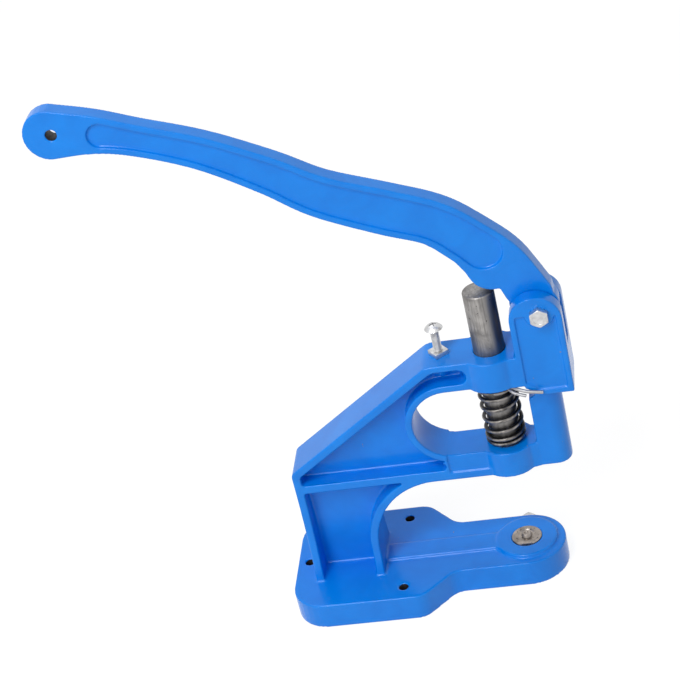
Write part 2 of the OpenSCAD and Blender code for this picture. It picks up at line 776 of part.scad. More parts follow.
module lower_die() {
    foot_z = die_top - die_seat + seat_gap;
    face_z = die_top + die_proud;
    color(steel) {
        difference() {
            translate([0, 0, foot_z]) cylinder(d = die_d, h = face_z - foot_z);
            // Flat on the near side, and a shallow dish round the pip
            translate([-die_d, -die_d / 2 - join, foot_z + die_seat / 2])
                cube([2 * die_d, die_flat + join, die_seat]);
            translate([0, 0, face_z - 0.6]) cylinder(d1 = pip_d + 2, d2 = pip_d + 5, h = 0.7);
        }
        translate([0, 0, face_z - 1]) cylinder(d1 = pip_d, d2 = pip_d * 0.6, h = pip_h);
    }
}

module die_screw() {
    tip_y = die_d / 2 + seat_gap;
    head_y = tongue_half + die_screw_gap;
    color(zinc) translate([0, 0, die_screw_z]) rotate([-90, 0, 0]) {
        translate([0, 0, tip_y]) cylinder(d = die_screw_d, h = head_y - tip_y + join);
        translate([0, 0, head_y]) hexagon(die_screw_flats, die_screw_head_h);
    }
}

echo(spring_self_gap = spring_self_gap);

frame_casting();
lever();
pivot_bolt();
pivot_washer();
pivot_nut();
ram();
split_pin();
return_spring();
stop_screw();
stop_nut();
lower_die();
die_screw();
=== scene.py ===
"""Hand-lever eyelet press: the finished look of every piece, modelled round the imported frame."""
import json
import math

import bpy
from bpy.props import FloatProperty, FloatVectorProperty, IntProperty, PointerProperty
from mathutils import Matrix, Vector


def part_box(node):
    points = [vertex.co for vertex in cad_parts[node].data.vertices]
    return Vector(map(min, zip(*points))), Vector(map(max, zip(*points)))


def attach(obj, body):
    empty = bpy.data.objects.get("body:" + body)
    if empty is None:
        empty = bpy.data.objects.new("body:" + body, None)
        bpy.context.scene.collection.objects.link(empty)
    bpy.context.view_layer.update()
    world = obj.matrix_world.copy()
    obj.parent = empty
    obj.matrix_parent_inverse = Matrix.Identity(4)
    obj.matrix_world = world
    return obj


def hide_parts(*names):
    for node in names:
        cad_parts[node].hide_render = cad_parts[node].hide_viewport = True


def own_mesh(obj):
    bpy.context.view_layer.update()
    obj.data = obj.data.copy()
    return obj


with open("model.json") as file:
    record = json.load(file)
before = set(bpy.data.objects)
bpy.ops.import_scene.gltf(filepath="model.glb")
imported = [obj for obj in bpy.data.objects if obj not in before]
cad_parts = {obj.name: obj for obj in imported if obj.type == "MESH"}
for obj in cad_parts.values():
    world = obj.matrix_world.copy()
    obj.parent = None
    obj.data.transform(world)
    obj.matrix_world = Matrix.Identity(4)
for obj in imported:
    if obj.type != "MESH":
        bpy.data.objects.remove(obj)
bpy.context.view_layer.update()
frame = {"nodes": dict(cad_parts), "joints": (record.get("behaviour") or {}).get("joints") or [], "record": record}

bl_info = {
    "name": "Eyelet press",
    "version": (1, 0, 0),
    "blender": (4, 5, 0),
    "location": "3D View > Sidebar > Press",
    "description": "Models and finishes the pieces of a hand-lever eyelet press",
    "category": "Object",
}

MM = 0.001
FULL_TURN = 2 * math.pi
# Sides of a turned piece, and steps to the turn of a thread
SIDES = 64
THREAD_STEPS = 32
# How far a tool that cuts right through reaches past the piece
OVER = 2 * MM
# Vertices closer than this are merged, in a mesh and along a wound thread
MERGE, THREAD_MERGE = 0.001 * MM, 0.01 * MM
# Widths of the bevels on machined edges
FINE_BEVEL, SMALL_BEVEL = 0.12 * MM, 0.25 * MM


# --- sizes and colours that a user would change -----------------------------------------------


def length(name, description, default):
    """A size in metres, shown in the scene's own unit."""
    return FloatProperty(name=name, description=description, default=default, min=0.0, unit="LENGTH",
                         precision=4)


def colour(name, description, default):
    """A colour without alpha."""
    return FloatVectorProperty(name=name, description=description, default=default, min=0.0, max=1.0,
                               subtype="COLOR", size=3)


class PressSizes(bpy.types.PropertyGroup):
    """Sizes of the finish and of the details that the frame leaves plain."""

    cast_grid: length("Casting grid", "Grid on which the castings' skins are rebuilt", 0.7 * MM)
    frame_rounds: IntProperty(name="Frame rounding", default=6, min=0,
                              description="Passes that round the frame casting's edges")
    lever_rounds: IntProperty(name="Lever rounding", default=6, min=0,
                              description="Passes that round the lever casting's edges")
    bolt_chamfer: length("Bolt chamfer", "Chamfer of the hexagon heads and nuts", 0.7 * MM)
    pivot_pitch: length("Pivot thread pitch", "Pitch of the pivot bolt's thread", 1.25 * MM)
    stop_pitch: length("Stop thread pitch", "Pitch of the stop screw's thread", 1.0 * MM)
    thread_gap: length("Thread gap", "Gap on the radius between a screw and its hole", 0.05 * MM)
    spring_wire: length("Spring wire", "Diameter of the spring's wire", 2.9 * MM)
    ram_bevel: length("Ram bevel", "Bevel round the ends of the ram", 0.8 * MM)


class PressColours(bpy.types.PropertyGroup):
    """Colours of the paint and the bare metals."""

    paint: colour("Paint", "Blue enamel where it lies evenly", (0.0, 0.222, 0.775))
    paint_thick: colour("Thick paint", "Blue enamel where it lies thicker", (0.0, 0.185, 0.69))
    chip: colour("Chip", "Metal that shows through a chip in the paint", (0.16, 0.18, 0.21))
    # Near black: bare iron with painted shade inside the holes
    bare_iron_and_shade: colour("Bare iron", "Oily iron in the drilled holes", (0.035, 0.03, 0.03))
    steel: colour("Steel", "Ground steel of the ram", (0.40, 0.385, 0.37))
    # Also the painted shade on the ram's pillar side
    grease_and_shade: colour("Grease", "Oil film and old grease on steel", (0.045, 0.042, 0.045))
    zinc: colour("Zinc", "Bright zinc plate", (0.74, 0.74, 0.74))
    zinc_dull: colour("Dull zinc", "Zinc plate that has dulled", (0.46, 0.46, 0.47))
    pin: colour("Split pin", "Soft steel wire of the split pin", (0.36, 0.36, 0.37))
    black: colour("Spring black", "Blackened spring wire", (0.022, 0.021, 0.022))
    # Also a painted highlight on the outside of the coil
    wire_worn_and_lit: colour("Worn wire", "Spring wire where the blacking has rubbed off", (0.30, 0.28, 0.26))
    turned: colour("Turned steel", "Turned steel of the lower die", (0.40, 0.355, 0.32))


# --- modelling --------------------------------------------------------------------------------


def deselect():
    """Leaves nothing selected, in object mode."""
    if bpy.context.object and bpy.context.object.mode != "OBJECT":
        bpy.ops.object.mode_set(mode="OBJECT")
    bpy.ops.object.select_all(action="DESELECT")


def pick(piece):
    """Makes one object the only selected and the active one."""
    deselect()
    piece.select_set(True)
    bpy.context.view_layer.objects.active = piece
    return piece


def in_edit_mode(piece, *steps):
    """Runs mesh operators on all of a piece's mesh."""
    pick(piece)
    bpy.ops.object.mode_set(mode="EDIT")
    bpy.ops.mesh.select_all(action="SELECT")
    for step in steps:
        step()
    bpy.ops.object.mode_set(mode="OBJECT")
    return piece


def recalculate():
    """Turns the faces outwards, in edit mode."""
    bpy.ops.mesh.normals_make_consistent(inside=False)


def apply_modifier(piece, kind, **settings):
    """Adds a modifier with these settings and applies it."""
    pick(piece)
    modifier = piece.modifiers.new(kind.title(), kind)
    for name, value in settings.items():
        setattr(modifier, name, value)
    bpy.ops.object.modifier_apply(modifier=modifier.name)
    return piece


def combine(piece, other, operation):
    """Unites, cuts or intersects a piece with another solid, which is used up."""
    apply_modifier(piece, "BOOLEAN", object=other, operation=operation, solver="MANIFOLD")
    if not piece.data.polygons:
        raise RuntimeError(f"{piece.name} is empty after {operation.lower()} with {other.name}")
    bpy.data.objects.remove(other)
    return piece


def round_edges(piece, width, segments=3, angle=30):
    """Bevels every edge sharper than the angle."""
    return apply_modifier(piece, "BEVEL", width=width, segments=segments, limit_method="ANGLE",
                          angle_limit=math.radians(angle), use_clamp_overlap=True)


def smooth(piece, angle=35):
    """Shades a piece smooth, with creases at edges sharper than the angle."""
    pick(piece)
    bpy.ops.object.shade_smooth_by_angle(angle=math.radians(angle))
    return piece


def turned(name, profile, sides=SIDES):
    """Solid of revolution about Z, drawn out ring by ring from (radius, height) pairs."""
    deselect()
    radius, height = profile[0]
    bpy.ops.mesh.primitive_circle_add(vertices=sides, radius=radius, fill_type="NGON",
                                      location=(0, 0, height))
    bpy.ops.object.transform_apply(location=True, rotation=True, scale=True)
    piece = bpy.context.object
    piece.name = name
    bpy.ops.object.mode_set(mode="EDIT")
    bpy.ops.mesh.select_all(action="SELECT")
    for next_radius, next_height in profile[1:]:
        rise = (0, 0, next_height - height)
        bpy.ops.mesh.extrude_region_move(TRANSFORM_OT_translate={"value": rise})
        share = next_radius / radius
        bpy.ops.transform.resize(value=(share, share, 1), center_override=(0, 0, next_height))
        radius, height = next_radius, next_height
    bpy.ops.mesh.select_all(action="SELECT")
    recalculate()
    bpy.ops.object.mode_set(mode="OBJECT")
    return piece


def rod(name, radius, low, high, sides=SIDES):
    """Plain round tool or shank about Z."""
    return turned(name, [(radius, low), (radius, high)], sides)


def place(piece, at, turn=None):
    """Turns a piece that was made about Z, and moves it to its place in the frame."""
    piece.data.transform(Matrix.Translation(at) @ (turn or Matrix()))
    return piece


def facing(axis):
    """Turn that takes Z to the given axis."""
    return Vector((0, 0, 1)).rotation_difference(Vector(axis)).to_matrix().to_4x4()


TO_FAR_SIDE, TO_NEAR_SIDE = facing((0, 1, 0)), facing((0, -1, 0))


def about_z(degrees):
    """Turn about Z."""
    return Matrix.Rotation(math.radians(degrees), 4, "Z")


def threaded(name, root, crest, pitch, low, turns):
    """Threaded shank about Z: one tooth of the profile is wound up and closed at both ends."""
    deselect()
    mesh = bpy.data.meshes.new(name)
    tooth = [(root, 0, low), (crest, 0, low + 0.4 * pitch), (crest, 0, low + 0.6 * pitch),
             (root, 0, low + pitch)]
    mesh.from_pydata(tooth, [(i, i + 1) for i in range(len(tooth) - 1)], [])
    piece = bpy.data.objects.new(name, mesh)
    bpy.context.scene.collection.objects.link(piece)
    apply_modifier(piece, "SCREW", axis="Z", angle=FULL_TURN, screw_offset=pitch, iterations=turns,
                   steps=THREAD_STEPS, render_steps=THREAD_STEPS, use_merge_vertices=True,
                   merge_threshold=THREAD_MERGE)
    return in_edit_mode(piece, lambda: bpy.ops.mesh.remove_doubles(threshold=THREAD_MERGE),
                        lambda: bpy.ops.mesh.fill_holes(sides=0), recalculate)


# A hexagon's corners are turned off at this slope, from just inside the flats
CORNER_SLOPE = math.tan(math.radians(30))
CORNER_INSET = 0.1 * MM
# Share of the chamfer that is added to the height of the turned corners
CHAMFER_SHARE = 0.2


def hexagon(name, flats, low, high, chamfer, both_ends=False):
    """Hexagon head or nut about Z, with its corners turned off at the top or at both ends."""
    corner = flats / math.sqrt(3)
    inner = flats / 2 - CORNER_INSET
    drop = (corner - inner) * CORNER_SLOPE + CHAMFER_SHARE * chamfer
    piece = turned(name, [(corner, low), (corner, high)], sides=6)
    foot = [(inner, low), (corner + drop, low + drop)] if both_ends else [(corner + drop, low)]
    turning = turned("turning", foot + [(corner + drop, high - drop), (inner, high)])
    return round_edges(combine(piece, turning, "INTERSECT"), FINE_BEVEL, segments=2)


def wire(name, points, radius, sides=12, closed=False):
    """Round wire along points, as a mesh with closed ends."""
    deselect()
    curve = bpy.data.curves.new(name, "CURVE")
    curve.dimensions = "3D"
    curve.bevel_depth = radius
    curve.bevel_resolution = sides // 2 - 2
    curve.use_fill_caps = not closed
    spline = curve.splines.new("POLY")
    spline.points.add(len(points) - 1)
    for knot, point in zip(spline.points, points):
        knot.co = (*point, 1)
    spline.use_cyclic_u = closed
    piece = bpy.data.objects.new(name, curve)
    bpy.context.scene.collection.objects.link(piece)
    pick(piece)
    bpy.ops.object.convert(target="MESH")
    piece = bpy.context.object
    return in_edit_mode(piece, lambda: bpy.ops.mesh.remove_doubles(threshold=MERGE), recalculate)


def rounded_path(corners, share=0.35, steps=6):
    """Points of a path whose inner corners are eased by short curves."""
    corners = [Vector(c) for c in corners]
    points = [corners[0]]
    for before, corner, after in zip(corners, corners[1:], corners[2:]):
        start, end = corner.lerp(before, share), corner.lerp(after, share)
        points += [start.lerp(corner, k / steps).lerp(corner.lerp(end, k / steps), k / steps)
                   for k in range(steps + 1)]
    return points + [corners[-1]]


def joined(name, pieces):
    """One object from several."""
    pick(pieces[0])
    for piece in pieces:
        piece.select_set(True)
    bpy.ops.object.join()
    bpy.context.object.name = name
    return bpy.context.object


def hand_over(piece, name, body, slot, material, *nodes):
    """Names a finished piece, gives it its finish unless it has one and its body, and hides the nodes that it
    stands for.
    """
    piece.name = name
    if material:
        piece.data.materials.clear()
        piece.data.materials.append(material)
    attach(piece, body)
    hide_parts(*nodes)
    return piece


# --- places taken from the frame --------------------------------------------------------------


def middle(node):
    """Middle of a node's box."""
    low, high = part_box(node)
    return (low + high) / 2


LEVER_JOINT = next(j for j in frame["joints"] if j["name"] == "lever_pivot")
PIVOT = Vector(LEVER_JOINT["pos_m"])
SPRING_FOOT, SPRING_TOP = (corner.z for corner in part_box("return_spring"))
RAM_LOW, RAM_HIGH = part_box("ram")
RAM_RADIUS = RAM_HIGH.x
MOUNTS = {mount["name"]: mount for mount in frame["record"]["mounts"]}
SOCKET_RADIUS = MOUNTS["ram_socket"]["dims"]["r_mm"] * MM
SOCKET_DEPTH = MOUNTS["ram_socket"]["dims"]["length_mm"] * MM
BASE_HEIGHT = MOUNTS["rear_hole"]["dims"]["length_mm"] * MM
# Radii of the M8 pivot bolt and of the two M6 screws
PIVOT_RADIUS, STOP_RADIUS, DIE_SCREW_RADIUS = 4 * MM, 3 * MM, 3 * MM


def base_holes():
    """Radius and place of the three screw holes in the base."""
    rear, front = MOUNTS["rear_hole"], MOUNTS["front_holes"]
    half = front["dims"]["spacing_y_mm"] / 2 * MM
    return [(rear["dims"]["r_mm"] * MM, tuple(rear["pos_m"][:2]))] + [
        (front["dims"]["hole_r_mm"] * MM, (front["pos_m"][0], side * half)) for side in (-1, 1)]


BASE_HOLES = base_holes()
# Radius of the grip's hole, and its place along X and Z
GRIP_HOLE = (MOUNTS["grip_hole"]["dims"]["r_mm"] * MM, MOUNTS["grip_hole"]["pos_m"][0],
             MOUNTS["grip_hole"]["pos_m"][2])


# --- materials --------------------------------------------------------------------------------


def put(tree, kind, sockets=None, **settings):
    """Adds a node, sets it up, and fills its inputs with values or links."""
    node = tree.nodes.new(kind)
    node.location = (190 * len(tree.nodes), 0)
    for name, value in settings.items():
        setattr(node, name, value)
    for name, value in (sockets or {}).items():
        if isinstance(value, bpy.types.NodeSocket):
            tree.links.new(value, node.inputs[name])
        else:
            node.inputs[name].default_value = value
    return node


def new_group(name, inputs, outputs):
    """A shader node group with named sockets, and its input and output nodes."""
    group = bpy.data.node_groups.new(name, "ShaderNodeTree")
    for socket, kind, value in inputs:
        made = group.interface.new_socket(socket, in_out="INPUT", socket_type=f"NodeSocket{kind}")
        if value is not None:
            made.default_value = value
    for socket in outputs:
        group.interface.new_socket(socket, in_out="OUTPUT", socket_type="NodeSocketFloat")
    return group, group.nodes.new("NodeGroupInput").outputs, group.nodes.new("NodeGroupOutput").inputs


def spread(tree, value, low, high, to_low=0.0, to_high=1.0):
    """Takes a value from one range to another, and holds it there."""
    return put(tree, "ShaderNodeMapRange", {"Value": value, "From Min": low, "From Max": high,
                                            "To Min": to_low, "To Max": to_high}).outputs["Result"]


def blend(tree, factor, first, second):
    """Mixes two colours."""
    return put(tree, "ShaderNodeMix", {0: factor, 6: first, 7: second}, data_type="RGBA").outputs[2]


def multiply(tree, first, second):
    """Product of two values."""
    return put(tree, "ShaderNodeMath", {0: first, 1: second}, operation="MULTIPLY").outputs[0]


def from_axis(tree, coordinates):
    """Distance from the ram's axis."""
    flat = put(tree, "ShaderNodeVectorMath", {0: coordinates, 1: (1.0, 1.0, 0.0)}, operation="MULTIPLY")
    return put(tree, "ShaderNodeVectorMath", {0: flat.outputs[0]}, operation="LENGTH").outputs["Value"]


def surface_grain():
    """Fine grain, slow patches and rare specks, which every finish here is built on."""
    group, given, out = new_group(
        "surface grain",
        [("Vector", "Vector", None), ("Grain Scale", "Float", 900.0), ("Patch Scale", "Float", 40.0),
         ("Speck Scale", "Float", 220.0), ("Speck Limit", "Float", 0.74)],
        ["Grain", "Patches", "Specks", "Height"])
    fine = put(group, "ShaderNodeTexNoise", {"Vector": given["Vector"], "Scale": given["Grain Scale"],
                                             "Detail": 3.0, "Roughness": 0.6})
    slow = put(group, "ShaderNodeTexNoise", {"Vector": given["Vector"], "Scale": given["Patch Scale"],
                                             "Detail": 4.0, "Roughness": 0.55, "Distortion": 0.6})
    rare = put(group, "ShaderNodeTexNoise", {"Vector": given["Vector"], "Scale": given["Speck Scale"],
                                             "Detail": 2.0, "Roughness": 0.5})
    specks = put(group, "ShaderNodeMapRange", {"Value": rare.outputs["Fac"],
                                               "From Min": given["Speck Limit"], "From Max": 1.0,
                                               "To Min": 0.0, "To Max": 8.0})
    group.links.new(spread(group, fine.outputs["Fac"], 0.25, 0.75), out["Grain"])
    group.links.new(spread(group, slow.outputs["Fac"], 0.3, 0.7), out["Patches"])
    group.links.new(spread(group, specks.outputs["Result"], 0.0, 1.0), out["Specks"])
    lift = put(group, "ShaderNodeMath", {0: slow.outputs["Fac"], 1: fine.outputs["Fac"]},
               operation="ADD")
    sunk = put(group, "ShaderNodeMath", {0: lift.outputs[0], 1: specks.outputs["Result"]},
               operation="SUBTRACT")
    group.links.new(sunk.outputs[0], out["Height"])
    return group


def drawn_lines():
    """Fine lines and scratches that run along one direction."""
    group, given, out = new_group(
        "drawn lines",
        [("Vector", "Vector", None), ("Stretch", "Vector", (1.0, 1.0, 1.0)), ("Scale", "Float", 900.0)],
        ["Lines", "Scratches"])
    along = put(group, "ShaderNodeVectorMath", {0: given["Vector"], 1: given["Stretch"]},
                operation="MULTIPLY")
    lines = put(group, "ShaderNodeTexNoise", {"Vector": along.outputs[0], "Scale": given["Scale"],
                                              "Detail": 5.0, "Roughness": 0.7})
    sparse = put(group, "ShaderNodeTexNoise", {"Vector": along.outputs[0], "Scale": given["Scale"],
                                               "Detail": 1.0, "Roughness": 0.4, "Distortion": 1.5})
    group.links.new(spread(group, lines.outputs["Fac"], 0.3, 0.7), out["Lines"])
    group.links.new(spread(group, sparse.outputs["Fac"], 0.66, 0.72), out["Scratches"])
    return group


# Distance from the ram's axis at which the painted shade on its pillar side is full
SHADE_REACH = 9 * MM
# The spring's wire is painted lighter between these distances outwards from its middle, as rubbed wear and as a
# painted highlight on the outside of the coil
WIRE_RUBBED_AND_LIT = (0.6 * MM, 1.3 * MM)
# Turning marks on the die, in radians for each metre of radius
TURNING_RINGS = 9000.0


class Finishes:
    """The materials, made once and shared by the pieces."""

    def __init__(self, colours):
        self.colours = colours
        self.grain_group = surface_grain()
        self.lines_group = drawn_lines()
        self.made = {}

    def get(self, name):
        """The material of that name, made when first asked for."""
        if name not in self.made:
            self.made[name] = getattr(self, name)()
        return self.made[name]

    def shade(self, name):
        """One of the scene's colours, with alpha."""
        return (*getattr(self.colours, name), 1.0)

    def start(self, name, **constants):
        """A material with its shader, its object coordinates and constants on the shader."""
        material = bpy.data.materials.new(name)
        material.use_nodes = True
        tree = material.node_tree
        shader = tree.nodes["Principled BSDF"]
        for socket, value in constants.items():
            shader.inputs[socket.replace("_", " ")].default_value = value
        return material, tree, shader.inputs, put(tree, "ShaderNodeTexCoord").outputs["Object"]

    def grain(self, tree, coordinates, **sockets):
        """The surface grain's outputs."""
        values = {name.replace("_", " "): value for name, value in sockets.items()}
        return self.group(tree, self.grain_group, coordinates, values)

    def group(self, tree, group, coordinates, values):
        """Outputs of a node group that is laid on these coordinates."""
        node = put(tree, "ShaderNodeGroup", node_tree=group)
        tree.links.new(coordinates, node.inputs["Vector"])
        for name, value in values.items():
            node.inputs[name].default_value = value
        return node.outputs

    def dress(self, tree, shader, colour, rough, height, depth, strength):
        """Links a colour, a roughness and a bump to the shader."""
        tree.links.new(colour, shader["Base Color"])
        tree.links.new(rough, shader["Roughness"])
        bump = put(tree, "ShaderNodeBump", {"Height": height, "Distance": depth,
                                            "Strength": strength})
        tree.links.new(bump.outputs["Normal"], shader["Normal"])

    def blue_enamel(self):
        """Glossy enamel over a sand casting: slow waves, fine grain and a few small chips."""
        material, tree, shader, place_on = self.start(
            "blue enamel", Specular_IOR_Level=0.38, IOR=1.45)
        grain = self.grain(tree, place_on, Grain_Scale=520.0, Patch_Scale=42.0, Speck_Scale=260.0,
                           Speck_Limit=0.785)
        coat = blend(tree, grain["Patches"], self.shade("paint"), self.shade("paint_thick"))
        chipped = blend(tree, grain["Specks"], coat, self.shade("chip"))
        gloss = blend(tree, grain["Grain"], (0.17, 0.17, 0.17, 1), (0.25, 0.25, 0.25, 1))
        self.dress(tree, shader, chipped, gloss, grain["Height"], 0.05 * MM, 0.25)
        return material

    def shaded_drilled_iron(self):
        """Oily iron where the castings are drilled after painting, near black as painted shade inside the holes.
        """
        material, tree, shader, place_on = self.start("drilled iron", Metallic=0.6)
        grain = self.grain(tree, place_on, Grain_Scale=800.0, Patch_Scale=200.0)
        oiled = blend(tree, grain["Patches"], self.shade("bare_iron_and_shade"), self.shade("grease_and_shade"))
        rough = spread(tree, grain["Grain"], 0.0, 1.0, 0.4, 0.6)
        self.dress(tree, shader, oiled, rough, grain["Height"], 0.03 * MM, 0.5)
        return material

    def ground_steel(self):
        """The ram: ground steel with lines along its length, oil film, dark specks and painted shade darkening its
        pillar side.
        """
        material, tree, shader, place_on = self.start("ground steel", Metallic=1.0)
        grain = self.grain(tree, place_on, Grain_Scale=700.0, Patch_Scale=70.0, Speck_Scale=420.0,
                           Speck_Limit=0.70)
        lines = self.group(tree, self.lines_group, place_on,
                           {"Stretch": (1.0, 1.0, 0.06), "Scale": 620.0})
        across = put(tree, "ShaderNodeSeparateXYZ", {"Vector": place_on}).outputs["X"]
        # Painted shade: the steel darkens across X towards the pillar side
        side = spread(tree, across, 0.0, SHADE_REACH)
        film = spread(tree, multiply(tree, lines["Lines"], grain["Patches"]), 0.05, 0.6, 0.6, 0.0)
        film_and_shade = put(tree, "ShaderNodeMath", {0: film, 1: multiply(tree, side, 0.8)}, operation="MAXIMUM")
        oiled = blend(tree, film_and_shade.outputs[0], self.shade("steel"), self.shade("grease_and_shade"))
        spotted = blend(tree, grain["Specks"], oiled, self.shade("grease_and_shade"))
        rough = spread(tree, lines["Lines"], 0.0, 1.0, 0.38, 0.55)
        self.dress(tree, shader, spotted, rough, lines["Lines"], 0.03 * MM, 0.5)
        return material

    def bright_zinc(self):
        """Zinc plate: bright, with duller patches and grey dirt in its pores."""
        material, tree, shader, place_on = self.start("bright zinc", Metallic=1.0)
        grain = self.grain(tree, place_on, Grain_Scale=1500.0, Patch_Scale=200.0, Speck_Scale=900.0,
                           Speck_Limit=0.74)
        plate = blend(tree, grain["Patches"], self.shade("zinc"), self.shade("zinc_dull"))
        dirty = blend(tree, grain["Specks"], plate, self.shade("grease_and_shade"))
        rough = spread(tree, grain["Patches"], 0.0, 1.0, 0.3, 0.48)
        self.dress(tree, shader, dirty, rough, grain["Height"], 0.03 * MM, 0.4)
        return material

    def pin_steel(self):
        """The split pin: soft drawn wire, dull and a little dirty."""
        material, tree, shader, place_on = self.start("pin steel", Metallic=0.75)
        grain = self.grain(tree, place_on, Grain_Scale=1500.0, Patch_Scale=320.0, Speck_Scale=900.0,
                           Speck_Limit=0.68)
        dull = blend(tree, multiply(tree, grain["Patches"], 0.35), self.shade("pin"),
                     self.shade("zinc_dull"))
        spotted = blend(tree, grain["Specks"], dull, self.shade("grease_and_shade"))
        rough = spread(tree, grain["Grain"], 0.0, 1.0, 0.42, 0.6)
        self.dress(tree, shader, spotted, rough, grain["Height"], 0.03 * MM, 0.5)
        return material

    def black_spring(self):
        """Blackened wire, painted lighter along the outside of the coil: rubbed wear and a painted highlight."""
        material, tree, shader, place_on = self.start("black spring", Metallic=0.85)
        grain = self.grain(tree, place_on, Grain_Scale=1400.0, Patch_Scale=160.0, Speck_Scale=700.0,
                           Speck_Limit=0.66)
        rubbed_lit_from, rubbed_lit_to = (SPRING_RADIUS + reach for reach in WIRE_RUBBED_AND_LIT)
        # Painted highlight and wear: the wire lightens towards the outside of the coil
        lit_crown = spread(tree, from_axis(tree, place_on), rubbed_lit_from, rubbed_lit_to)
        rubbed_and_lit = multiply(tree, lit_crown, spread(tree, grain["Patches"], 0.0, 0.7))
        wire_colour = blend(tree, rubbed_and_lit, self.shade("black"), self.shade("wire_worn_and_lit"))
        rough = spread(tree, grain["Grain"], 0.0, 1.0, 0.24, 0.42)
        self.dress(tree, shader, wire_colour, rough, grain["Height"], 0.03 * MM, 0.5)
        return material

    def turned_steel(self):
        """The lower die: turned rings, brown oil and dark spots."""
        material, tree, shader, place_on = self.start("turned steel", Metallic=1.0)
        grain = self.grain(tree, place_on, Grain_Scale=900.0, Patch_Scale=170.0, Speck_Scale=520.0,
                           Speck_Limit=0.64)
        across = multiply(tree, from_axis(tree, place_on), TURNING_RINGS)
        rings = put(tree, "ShaderNodeMath", {0: across}, operation="SINE").outputs[0]
        oiled = blend(tree, spread(tree, grain["Patches"], 0.0, 1.0, 0.0, 0.55), self.shade("turned"),
                      self.shade("grease_and_shade"))
        spotted = blend(tree, grain["Specks"], oiled, self.shade("grease_and_shade"))
        rough = spread(tree, grain["Grain"], 0.0, 1.0, 0.24, 0.46)
        self.dress(tree, shader, spotted, rough, rings, 0.015 * MM, 0.5)
        return material


# The one set of finishes, once it is made
_finishes = {}


def finish(name):
    """The material of that name, built with the scene's colours when first asked for."""
    if "set" not in _finishes:
        _finishes["set"] = Finishes(bpy.context.scene.press_colours)
    return _finishes["set"].get(name)


# --- the castings -----------------------------------------------------------------------------


# Most triangles that a casting's skin keeps
SKIN_TRIANGLES = 190000


def cast_skin(node, grid, rounds):
    """Copy of a casting as one skin with rounded edges and filled corners."""
    deselect()
    piece = bpy.data.objects.new(f"{node}_skin", frame["nodes"][node].data.copy())
    bpy.context.scene.collection.objects.link(piece)
    in_edit_mode(piece, lambda: bpy.ops.mesh.remove_doubles(threshold=MERGE))
    bpy.ops.mesh.customdata_custom_splitnormals_clear()
    apply_modifier(piece, "REMESH", mode="VOXEL", voxel_size=grid, adaptivity=0.0)
    apply_modifier(piece, "SMOOTH", factor=0.5, iterations=rounds)
    triangles = sum(len(face.vertices) - 2 for face in piece.data.polygons)
    return apply_modifier(piece, "DECIMATE", ratio=min(1.0, SKIN_TRIANGLES / triangles))


def drilled(piece, holes, slack=0.03 * MM):
    """Casting bored with (radius, start, axis, depth) holes, whose walls and floors are bare iron, darkened as
    painted shade.
    """
    for radius, start, axis, depth in holes:
        combine(piece, place(rod("drill", radius, 0, depth), start, facing(axis)), "DIFFERENCE")
    smooth(piece, angle=50)
    piece.data.materials.clear()
    for name in ("blue_enamel", "shaded_drilled_iron"):
        piece.data.materials.append(finish(name))
    points = [vertex.co for vertex in piece.data.vertices]
    for face in piece.data.polygons:
        if any(all(on_wall(points[i], hole, slack) for i in face.vertices) for hole in holes):
            face.material_index = 1
    return piece


def on_wall(point, hole, slack):
    """Whether a point lies on a hole's wall or floor."""
    radius, start, axis, depth = hole
    away = point - Vector(start)
    along = away.dot(Vector(axis))
    return -slack < along < depth + slack and (away - along * Vector(axis)).length < radius + slack


class EYELET_OT_castings(bpy.types.Operator):
    """Model the frame casting and the lever casting in blue enamel"""

    bl_idname = "eyelet.castings"
    bl_label = "Castings"

    def execute(self, context):
        sizes = context.scene.press_sizes
        gap, up, across = sizes.thread_gap, (0, 0, 1), (0, 1, 0)
        low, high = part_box("frame_casting")
        stop_low, stop_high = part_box("stop_screw")
        die_low, die_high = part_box("lower_die")
        stop, screw = middle("stop_screw"), middle("die_screw")
        screw_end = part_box("die_screw")[1].y
        holes = [
            (RAM_RADIUS + gap, (0, 0, RAM_LOW.z), up, RAM_HIGH.z - RAM_LOW.z),
            (PIVOT_RADIUS + gap, (PIVOT.x, low.y - OVER, PIVOT.z), across, high.y - low.y + 2 * OVER),
            (die_high.x + gap, (0, 0, die_low.z - gap), up, die_high.z - die_low.z + OVER),
            (STOP_RADIUS + gap, (stop.x, 0, stop_low.z - gap), up, stop_high.z - stop_low.z),
            (DIE_SCREW_RADIUS + gap, (0, 0, screw.z), across, screw_end)]
        holes += [(radius, (*place_on_base, low.z - OVER), up, BASE_HEIGHT + 2 * OVER)
                  for radius, place_on_base in BASE_HOLES]
        skin = drilled(cast_skin("frame_casting", sizes.cast_grid, sizes.frame_rounds), holes)
        hand_over(skin, "frame_casting_skin", "frame", "blue_paint", None, "frame_casting")
        low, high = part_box("lever")
        skin = drilled(cast_skin("lever", sizes.cast_grid, sizes.lever_rounds), [
            (radius, (x, low.y - OVER, z), across, high.y - low.y + 2 * OVER)
            for radius, x, z in ((PIVOT_RADIUS + gap, PIVOT.x, PIVOT.z), GRIP_HOLE)])
        hand_over(skin, "lever_skin", "lever", "blue_paint", None, "lever")
        return {"FINISHED"}


# --- ram, split pin and spring ----------------------------------------------------------------


# Width of the chamfer at the socket's mouth
SOCKET_CHAMFER = 1 * MM


